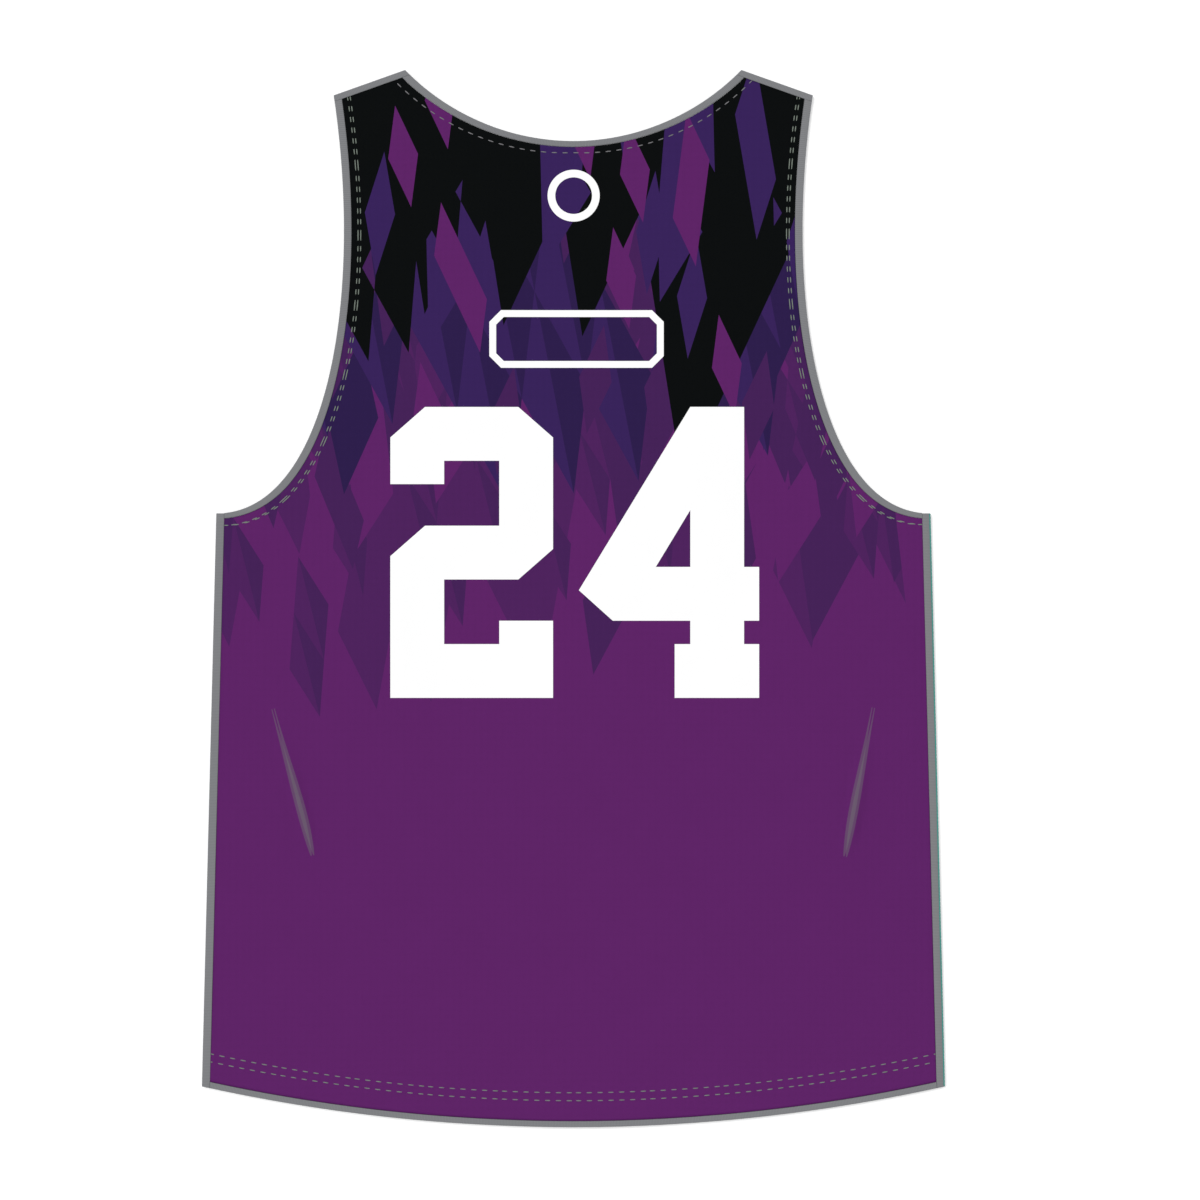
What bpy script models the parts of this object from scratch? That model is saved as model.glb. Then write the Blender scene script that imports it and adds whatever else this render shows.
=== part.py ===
"""Reversible pinnie laid flat, back upwards.

A sleeveless practice top with a wide shallow back neck, deep armholes and a curved hem.
Front and back panel lie on each other. Binding strips run round the neck, the armholes
and the hem of each panel, and one strip on each side seam and shoulder seam spans both.

Metres, +Z up, +Y towards the neck. The origin is the middle of the garment on the
surface that it lies on.
"""

import math
from collections import namedtuple

import bmesh
import bpy
from mathutils import Vector
from mathutils.geometry import interpolate_bezier

# The cut, measured flat.
LENGTH = 0.770              # neck points to the lowest point of the hem
CHEST_WIDTH = 0.520         # underarm to underarm
HEM_WIDTH = 0.541           # side seam to side seam at the hem
HEM_CURVE = 0.0296          # how far the middle of the hem drops below its corners
SHOULDER_WIDTH = 0.349      # shoulder tip to shoulder tip
SHOULDER_DROP = 0.0185      # neck point down to shoulder tip
NECK_WIDTH = 0.245          # neck point to neck point
BACK_NECK_DEPTH = 0.0515
FRONT_NECK_DEPTH = 0.120
ARMHOLE_DEPTH = 0.323       # neck point down to the underarm
ARMHOLE_TOP_PULL = Vector((-0.0225, -0.151))    # curve handle at the shoulder tip
ARMHOLE_LOW_PULL = Vector((-0.0795, 0.0))       # curve handle at the underarm

# Binding and seam strips: width seen from above.
NECK_BAND = 0.0042
ARMHOLE_BAND = 0.0055
HEM_BAND = 0.0044
SIDE_BAND = 0.0058
SHOULDER_BAND = 0.0045

# Walls and clearances.
CLOTH_WALL = 0.0012         # a panel: two plies of fine mesh
BINDING_WALL = 0.0018       # binding folded round the panel's edge
SEAM_GAP = 0.0003
BINDING_ROUNDING = 0.0005
SEAM_ROUNDING = 0.0011
WELD = 0.00001                                  # points this close are one
ROUNDED_CORNER = math.radians(50)               # corners sharper than this are rolled
BACK_REST = BINDING_WALL + SEAM_GAP             # underside of the back layer
SEAM_WALL = BACK_REST + BINDING_WALL            # side and shoulder strips span both layers

# The back neck has no front cloth under it, so it sinks towards the surface.
NECK_SAG = 0.0017
NECK_SAG_REACH = Vector((0.088, 0.062))

# Grid of the panels.
ARMHOLE_STEPS = 20          # rows from the underarm up to the shoulder
NECK_STEPS = 8              # the last of them, which end on the neck curve
LOWER_STEPS = 20            # rows from the hem up to the underarm
FRONT_LOWER_STEPS = 6
UNDERARM_ROW_DIP = 0.020    # the row that starts at the underarm dips towards the middle
HEM_STEPS = 26
MIDDLE_SHARE = 0.68         # where the close columns of the creases begin
CREASED_SHARE = 0.87        # and where they end
MIDDLE_STEPS = 7
CREASED_STEPS = 10
SIDE_STEPS = 2
FRONT_STEPS = 5

# Driving points of the right half.
TOP_Y = LENGTH / 2
HEM_LOW_Y = -LENGTH / 2
NECK_POINT = Vector((NECK_WIDTH / 2, TOP_Y))
SHOULDER_TIP = Vector((SHOULDER_WIDTH / 2, TOP_Y - SHOULDER_DROP))
UNDERARM = Vector((CHEST_WIDTH / 2, TOP_Y - ARMHOLE_DEPTH))
HEM_CORNER = Vector((HEM_WIDTH / 2, HEM_LOW_Y + HEM_CURVE))

MIRROR = Vector((-1.0, 1.0))                    # turns a point of the right half into the left one

PURPLE = (95, 37, 103)
GREY = (129, 130, 133)
CLOTH_ROUGHNESS = 0.8

# The two creases, from the upper to the lower end. Each is a soft ridge, pointed at both
# ends, with its widest point at the share "widest" of its length.
Crease = namedtuple("Crease", "x_top y_top x_foot y_foot width height widest")
CREASES = (
    Crease(-0.2186, -0.0806, -0.1899, -0.1871, 0.016, 0.0026, 0.69),
    Crease(0.2186, -0.0797, 0.1981, -0.1879, 0.016, 0.0026, 0.69),
)

# Broad low swells of the back panel where the cloth stands a little off the front.
Swell = namedtuple("Swell", "x y reach_x reach_y lift")
SWELLS = (
    Swell(-0.080, 0.215, 0.070, 0.130, 0.0011),
    Swell(0.095, 0.150, 0.062, 0.160, 0.0012),
    Swell(-0.150, -0.010, 0.070, 0.110, 0.0009),
    Swell(0.020, -0.060, 0.090, 0.120, 0.0010),
    Swell(0.150, -0.240, 0.080, 0.110, 0.0010),
    Swell(-0.110, -0.270, 0.085, 0.150, 0.0012),
    Swell(0.010, -0.400, 0.070, 0.120, 0.0009),
)

Station = namedtuple("Station", "point inward")     # a point of an edge, and the way in
Plane = namedtuple("Plane", "point outward")        # an upright cutting plane


def clear_scene():
    for item in list(bpy.data.objects):
        bpy.data.objects.remove(item, do_unlink=True)


def linear_colour(srgb):
    """Blender's linear colour for an 8-bit sRGB one."""
    shares = [channel / 255 for channel in srgb]
    return [((s + 0.055) / 1.055) ** 2.4 if s > 0.04045 else s / 12.92 for s in shares] + [1.0]


def cloth_material(name, srgb):
    material = bpy.data.materials.new(name)
    material.use_nodes = True
    shader = material.node_tree.nodes["Principled BSDF"]
    shader.inputs["Base Color"].default_value = linear_colour(srgb)
    shader.inputs["Roughness"].default_value = CLOTH_ROUGHNESS
    shader.inputs["Metallic"].default_value = 0.0
    return material


# Edges of the garment. Each gives the right half as stations, or a whole arc.

def arc_radius(half_width, rise):
    """Radius of the arc that rises by "rise" over half its width."""
    return (half_width ** 2 + rise ** 2) / (2 * rise)


def neck_stations(depth):
    """From the middle of the neck to the right neck point."""
    radius = arc_radius(NECK_POINT.x, depth)
    centre = Vector((0.0, TOP_Y - depth + radius))
    half_angle = math.atan2(NECK_POINT.x, centre.y - TOP_Y)
    for step in range(NECK_STEPS + 1):
        angle = half_angle * step / NECK_STEPS
        inward = Vector((math.sin(angle), -math.cos(angle)))
        yield Station(centre + radius * inward, inward)


def armhole_stations():
    """From the right underarm up to the shoulder tip."""
    curve = [Vector(point).to_2d() for point in interpolate_bezier(
        UNDERARM.to_3d(), (UNDERARM + ARMHOLE_LOW_PULL).to_3d(),
        (SHOULDER_TIP + ARMHOLE_TOP_PULL).to_3d(), SHOULDER_TIP.to_3d(), ARMHOLE_STEPS + 1)]
    for step, point in enumerate(curve):
        before = curve[max(step - 1, 0)]
        after = curve[min(step + 1, ARMHOLE_STEPS)]
        tangent = (after - before).normalized()
        if step == 0:
            tangent = ARMHOLE_LOW_PULL.normalized()
        yield Station(point, Vector((-tangent.y, tangent.x)))


def hem_station(share):
    """A point of the hem arc: -1 at the left corner, 1 at the right one."""
    radius = arc_radius(HEM_CORNER.x, HEM_CURVE)
    centre = Vector((0.0, HEM_LOW_Y + radius))
    angle = share * math.asin(HEM_CORNER.x / radius)
    inward = Vector((-math.sin(angle), math.cos(angle)))
    return Station(centre - radius * inward, inward)


def hem_stations():
    for step in range(HEM_STEPS + 1):
        yield hem_station(2 * step / HEM_STEPS - 1)


def mirrored(stations):
    """The same edge on the left half, drawn the other way round."""
    return [Station(s.point * MIRROR, s.inward * MIRROR) for s in reversed(list(stations))]


def inset_plane(start, end, inset):
    """Upright plane along an edge of the right half, moved into the garment."""
    along = (end - start).normalized()
    outward = Vector((along.y, -along.x))
    return Plane(start - outward * inset, outward)


def both_sides(plane):
    return [plane, Plane(plane.point * MIRROR, plane.outward * MIRROR)]


def seam_planes():
    """Planes at the inner edges of the side and shoulder strips, less the seam gap."""
    side = inset_plane(HEM_CORNER, UNDERARM, SIDE_BAND + SEAM_GAP)
    shoulder = inset_plane(SHOULDER_TIP, NECK_POINT, SHOULDER_BAND + SEAM_GAP)
    return both_sides(side) + both_sides(shoulder)


# How the back layer lies.

def bump(distance):
    """1 at distance 0, falling smoothly to 0 at distance 1."""
    return (1 - distance ** 2) ** 2 if abs(distance) < 1 else 0.0


def crease_lift(crease, point):
    top = Vector((crease.x_top, crease.y_top))
    run = Vector((crease.x_foot, crease.y_foot)) - top
    along = (point - top).dot(run) / run.length_squared
    if not 0 < along < 1:
        return 0.0
    across = abs((point - top).cross(run)) / run.length
    fullness = math.sin(math.pi * along ** (math.log(0.5) / math.log(crease.widest)))
    return crease.height * fullness * bump(across / (crease.width / 2))


def swell_lift(swell, point):
    offset = Vector(((point.x - swell.x) / swell.reach_x, (point.y - swell.y) / swell.reach_y))
    return swell.lift * bump(offset.length)


def neck_sag(point):
    offset = point - Vector((0.0, TOP_Y - BACK_NECK_DEPTH))
    return NECK_SAG * bump(Vector((offset.x / NECK_SAG_REACH.x, offset.y / NECK_SAG_REACH.y)).length)


def back_height(point):
    """Height of the back layer's underside."""
    lift = sum(crease_lift(crease, point) for crease in CREASES)
    lift += sum(swell_lift(swell, point) for swell in SWELLS)
    return BACK_REST + lift - neck_sag(point)


def front_height(_point):
    """The front layer lies on the surface."""
    return 0.0


# Sheets: open grids of quads, seen from above.

def sheet_from(across, along, place):
    """Grid with its corner (i, j) at place(i, j)."""
    sheet = bmesh.new()
    bmesh.ops.create_grid(sheet, x_segments=across, y_segments=along, size=0.5)
    for vert in sheet.verts:
        i = round((vert.co.x + 0.5) * across)
        j = round((vert.co.y + 0.5) * along)
        vert.co = place(i, j).to_3d()
    return sheet


def cut_sheet(sheet, planes):
    """Remove what lies outside the planes."""
    for plane in planes:
        geometry = sheet.verts[:] + sheet.edges[:] + sheet.faces[:]
        bmesh.ops.bisect_plane(sheet, geom=geometry, dist=WELD, plane_co=plane.point.to_3d(),
                               plane_no=plane.outward.to_3d(), clear_outer=True)


def band_sheet(stations, width):
    """Strip along an edge, from the outline inwards."""
    stations = list(stations)

    def place(i, j):
        return stations[i].point + stations[i].inward * width * j

    return sheet_from(len(stations) - 1, 1, place)


def strip_sheet(start, end, width, end_planes):
    """Straight strip along an edge of the right half, trimmed at its ends."""
    along = (end - start).normalized()
    inward = Vector((-along.y, along.x))
    overrun = along * width
    stations = [Station(start - overrun, inward), Station(end + overrun, inward)]
    sheet = band_sheet(stations, width)
    cut_sheet(sheet, end_planes)
    return sheet


def column_shares(*parts):
    """Places of a half panel's columns, 0 at the middle and 1 at the side."""
    shares = []
    for start, end, steps in parts:
        shares += [start + (end - start) * step / steps for step in range(steps)]
    return shares + [1.0]


def panel_sheet(neck_depth, columns, lower_steps):
    """A panel inside its bindings: rows of the right half, hem to shoulder, then mirrored."""
    neck = [s.point + s.inward * (NECK_BAND + SEAM_GAP) for s in neck_stations(neck_depth)]
    armhole = [s.point + s.inward * (ARMHOLE_BAND + SEAM_GAP) for s in armhole_stations()]
    middle_start = Vector((0.0, armhole[0].y - UNDERARM_ROW_DIP))
    centre_steps = ARMHOLE_STEPS - NECK_STEPS
    middle = [middle_start.lerp(neck[0], step / centre_steps) for step in range(centre_steps)] + neck

    def place(i, j):
        if j >= lower_steps:
            return middle[j - lower_steps].lerp(armhole[j - lower_steps], columns[i])
        hem = hem_station(columns[i])
        hem_point = hem.point + hem.inward * (HEM_BAND + SEAM_GAP)
        return hem_point.lerp(middle_start.lerp(armhole[0], columns[i]), j / lower_steps)

    sheet = sheet_from(len(columns) - 1, lower_steps + ARMHOLE_STEPS, place)
    half = sheet.verts[:] + sheet.edges[:] + sheet.faces[:]
    bmesh.ops.mirror(sheet, geom=half, axis="X", merge_dist=WELD)
    bmesh.ops.recalc_face_normals(sheet, faces=sheet.faces[:])
    return sheet


# Pieces.

def make_piece(name, sheet, wall, colour, height=front_height, rounding=0.0):
    """Lay a sheet at its height and give it its wall, and rolled edges if it has them."""
    for vert in sheet.verts:
        vert.co.z = height(vert.co.to_2d())
    sheet.normal_update()
    if sum(face.normal.z for face in sheet.faces) < 0:
        bmesh.ops.reverse_faces(sheet, faces=sheet.faces[:])
    mesh = bpy.data.meshes.new(name)
    sheet.to_mesh(mesh)
    sheet.free()
    mesh.materials.append(cloth_material(name, colour))
    piece = bpy.data.objects.new(name, mesh)
    solid = piece.modifiers.new("Wall", "SOLIDIFY")
    solid.thickness = wall
    solid.offset = 1.0
    if rounding:
        edge = piece.modifiers.new("Rolled edge", "BEVEL")
        edge.width = rounding
        edge.segments = 1
        edge.limit_method = "ANGLE"
        edge.angle_limit = ROUNDED_CORNER
    return piece


def make_panels():
    back_columns = column_shares(
        (0.0, MIDDLE_SHARE, MIDDLE_STEPS),
        (MIDDLE_SHARE, CREASED_SHARE, CREASED_STEPS),
        (CREASED_SHARE, 1.0, SIDE_STEPS),
    )
    front_columns = column_shares((0.0, 1.0, FRONT_STEPS))
    back = panel_sheet(BACK_NECK_DEPTH, back_columns, LOWER_STEPS)
    front = panel_sheet(FRONT_NECK_DEPTH, front_columns, FRONT_LOWER_STEPS)
    for sheet in (back, front):
        cut_sheet(sheet, seam_planes())
    return [
        make_piece("back_panel", back, CLOTH_WALL, PURPLE, back_height),
        make_piece("front_panel", front, CLOTH_WALL, PURPLE),
    ]


def make_bindings(layer, neck_depth, height):
    """Neck, armhole and hem binding of one panel."""
    neck = mirrored(neck_stations(neck_depth)) + list(neck_stations(neck_depth))[1:]
    bands = (
        ("neck_binding_" + layer, neck, NECK_BAND),
        ("armhole_binding_right_" + layer, armhole_stations(), ARMHOLE_BAND),
        ("armhole_binding_left_" + layer, mirrored(armhole_stations()), ARMHOLE_BAND),
        ("hem_binding_" + layer, hem_stations(), HEM_BAND),
    )
    pieces = []
    for name, stations, width in bands:
        sheet = band_sheet(stations, width)
        cut_sheet(sheet, seam_planes())
        pieces.append(make_piece(name, sheet, BINDING_WALL, GREY, height, BINDING_ROUNDING))
    return pieces


def make_seam_strips(side_name, flip):
    """Side and shoulder strip of one side, over both panels."""
    hem_end = hem_station(1.0)
    neck_end = list(neck_stations(BACK_NECK_DEPTH))[-1]
    armhole_end = list(armhole_stations())[-1]
    side = strip_sheet(HEM_CORNER, UNDERARM, SIDE_BAND, (
        Plane(hem_end.point, -hem_end.inward),
        Plane(UNDERARM, Vector((0.0, 1.0))),
    ))
    shoulder = strip_sheet(SHOULDER_TIP, NECK_POINT, SHOULDER_BAND, (
        Plane(armhole_end.point, -armhole_end.inward),
        Plane(neck_end.point, -neck_end.inward),
    ))
    for sheet in (side, shoulder):
        bmesh.ops.scale(sheet, vec=(flip, 1.0, 1.0), verts=sheet.verts)
    return [
        make_piece("side_binding_" + side_name, side, SEAM_WALL, GREY, rounding=SEAM_ROUNDING),
        make_piece("shoulder_binding_" + side_name, shoulder, SEAM_WALL, GREY, rounding=SEAM_ROUNDING),
    ]


def build():
    clear_scene()
    collection = bpy.data.collections.new("Reversible pinnie")
    bpy.context.scene.collection.children.link(collection)
    pieces = make_panels()
    pieces += make_bindings("back", BACK_NECK_DEPTH, back_height)
    pieces += make_bindings("front", FRONT_NECK_DEPTH, front_height)
    pieces += make_seam_strips("right", 1.0)
    pieces += make_seam_strips("left", -1.0)
    for piece in pieces:
        collection.objects.link(piece)


build()
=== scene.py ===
# %% [markdown]
# # Reversible pinnie, laid flat
# A pinnie is the sleeveless top that a team pulls on for practice. This one lies on its
# front, so its back looks up. The solid model gives every piece its place. Here each piece
# gets what the eye sees: fine mesh cloth, a printed fade, taped edges and rows of stitches.
# %% Load the frame
import math
from bisect import bisect_left
from collections import namedtuple

import bmesh
import bpy
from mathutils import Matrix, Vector, kdtree, noise
from mathutils.geometry import interpolate_bezier


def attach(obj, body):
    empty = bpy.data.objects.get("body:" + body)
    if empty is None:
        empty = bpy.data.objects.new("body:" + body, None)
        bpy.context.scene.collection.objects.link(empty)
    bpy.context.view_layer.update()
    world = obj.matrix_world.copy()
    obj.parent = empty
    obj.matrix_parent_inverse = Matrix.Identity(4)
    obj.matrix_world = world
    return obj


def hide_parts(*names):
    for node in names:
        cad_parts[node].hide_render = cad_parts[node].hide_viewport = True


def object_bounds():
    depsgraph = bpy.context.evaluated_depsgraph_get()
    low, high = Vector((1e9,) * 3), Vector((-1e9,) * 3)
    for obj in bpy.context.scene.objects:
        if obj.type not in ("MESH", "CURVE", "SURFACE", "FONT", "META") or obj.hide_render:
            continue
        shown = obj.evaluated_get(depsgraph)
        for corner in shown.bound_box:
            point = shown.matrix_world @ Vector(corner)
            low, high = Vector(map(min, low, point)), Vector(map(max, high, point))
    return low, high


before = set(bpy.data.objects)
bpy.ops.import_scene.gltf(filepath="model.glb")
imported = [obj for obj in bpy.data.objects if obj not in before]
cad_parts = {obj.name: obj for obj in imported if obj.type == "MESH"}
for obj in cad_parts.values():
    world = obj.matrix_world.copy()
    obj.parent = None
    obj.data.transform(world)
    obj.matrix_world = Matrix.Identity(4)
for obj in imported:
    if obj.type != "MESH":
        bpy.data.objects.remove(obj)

cad_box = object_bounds()
print("solid model", [round(high - low, 4) for low, high in zip(*cad_box)], "m")

# %% [markdown]
# ## The camera
# The picture looks straight down, so the camera hangs above the cloth and isn't turned: its
# up is +Y, towards the neck. A long lens from far away keeps the edges from leaning.
# The garment sits a little left of the middle of the picture, so the camera stands off centre.
# %% Camera
PICTURE_WIDTH = 0.8732       # metres of cloth across the picture
CAMERA_X = 0.0195
CAMERA_Y = -0.0011
LENS = 100.0                 # millimetres
FILM = 36.0

camera_data = bpy.data.cameras.new("camera")
camera_data.lens = LENS
camera_data.sensor_width = FILM
camera = bpy.data.objects.new("camera", camera_data)
camera.location = (CAMERA_X, CAMERA_Y, PICTURE_WIDTH * LENS / FILM + cad_box[1][2])
bpy.context.scene.collection.objects.link(camera)
bpy.context.scene.camera = camera
print("camera height", round(camera.location.z, 3), "m")

# %% [markdown]
# ## Light and floor
# A cut-out on white has no shadows to speak of. An even white sky does most of the lighting,
# and one large soft sun from the upper left adds just enough direction to show the folds.
# The two strengths add up to a plain white: a cloth of some colour then renders in that colour.
# %% Light and floor
SKY_STRENGTH = 0.74
SUN_SHARE = 0.30             # of the light that falls on a flat cloth
SUN_TILT = math.radians(30)
SUN_TURN = math.radians(48)
SUN_SOFTNESS = math.radians(22)
FLOOR_SIZE = 400.0
FLOOR_GREY = 0.97
FLOOR_GLOW = 0.20            # like the lit white sweep of a photo studio
PURE_WHITE = (1.0, 1.0, 1.0, 1.0)


def linear(srgb):
    """Blender's linear colour for an 8-bit one, by the curve of the sRGB standard."""
    parts = [channel / 255 for channel in srgb]
    return [((c + 0.055) / 1.055) ** 2.4 if c > 0.04045 else c / 12.92 for c in parts] + [1.0]


def add_object(name, data):
    thing = bpy.data.objects.new(name, data)
    bpy.context.scene.collection.objects.link(thing)
    return thing


def make_light():
    world = bpy.data.worlds.new("sky")
    world.use_nodes = True
    background = world.node_tree.nodes["Background"]
    background.inputs["Color"].default_value = PURE_WHITE
    background.inputs["Strength"].default_value = SKY_STRENGTH
    bpy.context.scene.world = world
    sun = bpy.data.lights.new("sun", "SUN")
    sun.energy = SUN_SHARE * math.pi / math.cos(SUN_TILT)
    sun.angle = SUN_SOFTNESS
    add_object("sun", sun).rotation_euler = (-SUN_TILT, 0.0, SUN_TURN)


def make_floor():
    mesh = bpy.data.meshes.new("floor")
    sheet = bmesh.new()
    bmesh.ops.create_grid(sheet, x_segments=1, y_segments=1, size=FLOOR_SIZE / 2)
    sheet.to_mesh(mesh)
    sheet.free()
    floor = add_object("floor", mesh)
    material = bpy.data.materials.new("floor")
    material.use_nodes = True
    shader = material.node_tree.nodes["Principled BSDF"]
    shader.inputs["Base Color"].default_value = (FLOOR_GREY, FLOOR_GREY, FLOOR_GREY, 1.0)
    shader.inputs["Roughness"].default_value = 1.0
    shader.inputs["Specular IOR Level"].default_value = 0.0
    shader.inputs["Emission Color"].default_value = PURE_WHITE
    shader.inputs["Emission Strength"].default_value = FLOOR_GLOW
    mesh.materials.append(material)


bpy.context.scene.view_settings.view_transform = "Standard"
make_light()
make_floor()
print("sky", SKY_STRENGTH, "sun", SUN_SHARE)

# %% [markdown]
# ## The cut
# A maker draws half a pattern and folds the paper. These are the sizes of that half, in
# metres from the middle of the garment: a side seam, a hem that is part of a large circle,
# a neck that is part of a small one, and an armhole that one Bezier curve gives.
# An edge is kept as a row of stations, each a point and the direction into the cloth.
# %% The cut
LENGTH = 0.770
CHEST_WIDTH = 0.520
HEM_WIDTH = 0.541
HEM_CURVE = 0.0296
SHOULDER_WIDTH = 0.349
SHOULDER_DROP = 0.0185
NECK_WIDTH = 0.245
BACK_NECK_DEPTH = 0.0515
FRONT_NECK_DEPTH = 0.120
ARMHOLE_DEPTH = 0.323
ARMHOLE_TOP_PULL = Vector((-0.0225, -0.151, 0.0))
ARMHOLE_LOW_PULL = Vector((-0.0795, 0.0, 0.0))

TOP_Y = LENGTH / 2
HEM_LOW_Y = -LENGTH / 2
NECK_POINT = Vector((NECK_WIDTH / 2, TOP_Y, 0.0))
SHOULDER_TIP = Vector((SHOULDER_WIDTH / 2, TOP_Y - SHOULDER_DROP, 0.0))
UNDERARM = Vector((CHEST_WIDTH / 2, TOP_Y - ARMHOLE_DEPTH, 0.0))
HEM_CORNER = Vector((HEM_WIDTH / 2, HEM_LOW_Y + HEM_CURVE, 0.0))
UPWARDS = Vector((0.0, 0.0, 1.0))

Station = namedtuple("Station", "point inward")


def arc_radius(half_width, depth):
    """Radius of the circle whose arc is this deep over this width."""
    return (half_width ** 2 + depth ** 2) / (2 * depth)


def arc(half_width, depth, low_y, share, side):
    """Station of an arc that is lowest in its middle.

    share runs from -1 to 1 along it. The cloth lies outside its circle if side is 1, and
    inside if it is -1.
    """
    radius = arc_radius(half_width, depth)
    angle = share * math.atan2(half_width, radius - depth)
    outwards = Vector((math.sin(angle), -math.cos(angle), 0.0))
    return Station(Vector((0.0, low_y + radius, 0.0)) + radius * outwards, side * outwards)


def neck_station(depth, share):
    return arc(NECK_POINT.x, depth, TOP_Y - depth, share, 1)


def hem_station(share):
    return arc(HEM_CORNER.x, HEM_CURVE, HEM_LOW_Y, share, -1)


def shares(steps, start=-1.0, end=1.0):
    """Even steps from start to end, both included."""
    return [start + (end - start) * step / steps for step in range(steps + 1)]


def stations_along(points, first_tangent=None):
    """Stations of a drawn line whose cloth lies on the left of its direction."""
    stations = []
    for step, point in enumerate(points):
        tangent = points[min(step + 1, len(points) - 1)] - points[max(step - 1, 0)]
        if step == 0 and first_tangent:
            tangent = first_tangent
        stations.append(Station(point, UPWARDS.cross(tangent.normalized())))
    return stations


def armhole_stations(steps):
    """The right armhole, underarm to shoulder."""
    curve = interpolate_bezier(UNDERARM, UNDERARM + ARMHOLE_LOW_PULL,
                               SHOULDER_TIP + ARMHOLE_TOP_PULL, SHOULDER_TIP, steps + 1)
    return stations_along(curve, ARMHOLE_LOW_PULL)


LEFT_FOR_RIGHT = Vector((-1.0, 1.0, 1.0))


def mirrored(stations):
    """The same edge on the left half."""
    return [Station(s.point * LEFT_FOR_RIGHT, s.inward * LEFT_FOR_RIGHT)
            for s in reversed(stations)]


def flipped(points):
    """The same points on the other half."""
    return [point * LEFT_FOR_RIGHT for point in points]


def milestones(points):
    """Distance along a line at each of its points."""
    total = [0.0]
    for a, b in zip(points, points[1:]):
        total.append(total[-1] + (b - a).length)
    return total


EDGE_STEPS = 120
neck_edge = [neck_station(BACK_NECK_DEPTH, share) for share in shares(EDGE_STEPS)]
front_neck_edge = [neck_station(FRONT_NECK_DEPTH, share) for share in shares(EDGE_STEPS)]
hem_edge = [hem_station(share) for share in shares(2 * EDGE_STEPS)]
right_armhole = armhole_stations(EDGE_STEPS)
left_armhole = mirrored(right_armhole)
print("underarm to underarm", 2 * UNDERARM.x, "m, neck to hem", LENGTH, "m")

# %% [markdown]
# ## Where the stitches run
# The neck has one row of stitches, and each armhole a twin row. Nobody sews at an even
# distance from an edge: the neck's row is closest in its middle, and the armhole's is close at
# the underarm, swings away within a hand's width and comes back a little at the shoulder. The
# right armhole's rows also lie a little nearer to the edge than the left one's.
# The hem has a twin row that a wider machine sewed: two copies of the hem's own arc. The rows
# come first, because the cloth is pulled in along them.
# %% Stitch rows
ROW_STEPS = 600
NECK_ROW = 0.0085
NECK_ROW_SWING = 0.0024
NECK_ROW_REACH = 0.100
ARMHOLE_ROW = 0.01138        # at its furthest, halfway up
ARMHOLE_MIDDLE = 0.190
ARMHOLE_BOW = 0.0010         # how much closer it is at both ends of a plain bow
UNDERARM_TUCK = 0.00208      # and closer still at the underarm
UNDERARM_TUCK_REACH = 0.0147
ARMHOLE_TWIN = 0.00097       # either way, sideways
RIGHT_ROW_NEARER = 0.0006
HEM_ROWS = (0.0251, 0.0193)


def neck_inset(mark):
    return NECK_ROW + NECK_ROW_SWING * math.sin(math.pi / 2 * min(mark / NECK_ROW_REACH, 1.0))


def armhole_inset(mark):
    tuck = UNDERARM_TUCK * math.exp(-mark / UNDERARM_TUCK_REACH)
    return ARMHOLE_ROW - tuck - ARMHOLE_BOW * (mark / ARMHOLE_MIDDLE - 1) ** 2


def right_inset(mark):
    return armhole_inset(mark) - RIGHT_ROW_NEARER


def row_inside(stations, inset):
    """A row whose distance from the edge depends on how far along the edge it has come."""
    marks = milestones([s.point for s in stations])
    return [s.point + s.inward * inset(mark) for s, mark in zip(stations, marks)]


def twin(row):
    """Two copies of a row, side by side."""
    return [[point + Vector((shift, 0.0, 0.0)) for point in row]
            for shift in (-ARMHOLE_TWIN, ARMHOLE_TWIN)]


neck_half = [neck_station(BACK_NECK_DEPTH, share) for share in shares(ROW_STEPS, 0.0)]
neck_half_row = row_inside(neck_half, neck_inset)
neck_row = flipped(reversed(neck_half_row[1:])) + neck_half_row
armhole_half = armhole_stations(ROW_STEPS)
armhole_row = row_inside(armhole_half, armhole_inset)
right_row = row_inside(armhole_half, right_inset)
hem_rows = [[hem_station(share).point + Vector((0.0, lift, 0.0)) for share in shares(ROW_STEPS)]
            for lift in HEM_ROWS]
print("stitched", round(milestones(neck_row)[-1] + 2 * milestones(hem_rows[0])[-1]
                        + 4 * milestones(armhole_row)[-1], 2), "m")

# %% [markdown]
# ## How the back lies
# Cloth on a table is never quite flat. One function gives the height of the back layer at
# any point, so cloth, tape, print and thread all lie on the same surface. It adds up two
# sharp creases, a few broad swells, the sag at the neck where no front lies below, small
# wrinkles from smooth noise, the doubled cloth of the turned-up hem, and the slight groove
# that each row of stitches pulls in. The cut is the same on both sides, so the distances to
# an edge or a row are all found on the right half, with the point folded over to it.
# %% Height of the back layer
CLOTH_WALL = 0.0011
TAPE_WALL = 0.0018
SEAM_GAP = 0.0003
BACK_REST = TAPE_WALL + SEAM_GAP
SEAM_WALL = BACK_REST + TAPE_WALL
NECK_SAG = 0.0017
NECK_SAG_REACH = Vector((0.088, 0.062))
WRINKLE_HEIGHT = 0.00035
WRINKLE_WIDTH = 0.045
WRINKLE_LENGTH = 0.110
FINE_WRINKLES = 2.3          # times as close as the others
FINE_WRINKLE_SHARE = 0.5     # of their height
CALM_EDGE = 0.050            # wrinkles die out this near an edge
HEM_FOLD = 0.0270            # depth of the turned-up hem
HEM_FOLD_LIFT = 0.00035
HEM_FOLD_SLOPE = 0.003
GROOVE_DEPTH = 0.00022
GROOVE_REACH = 0.0030

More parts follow.
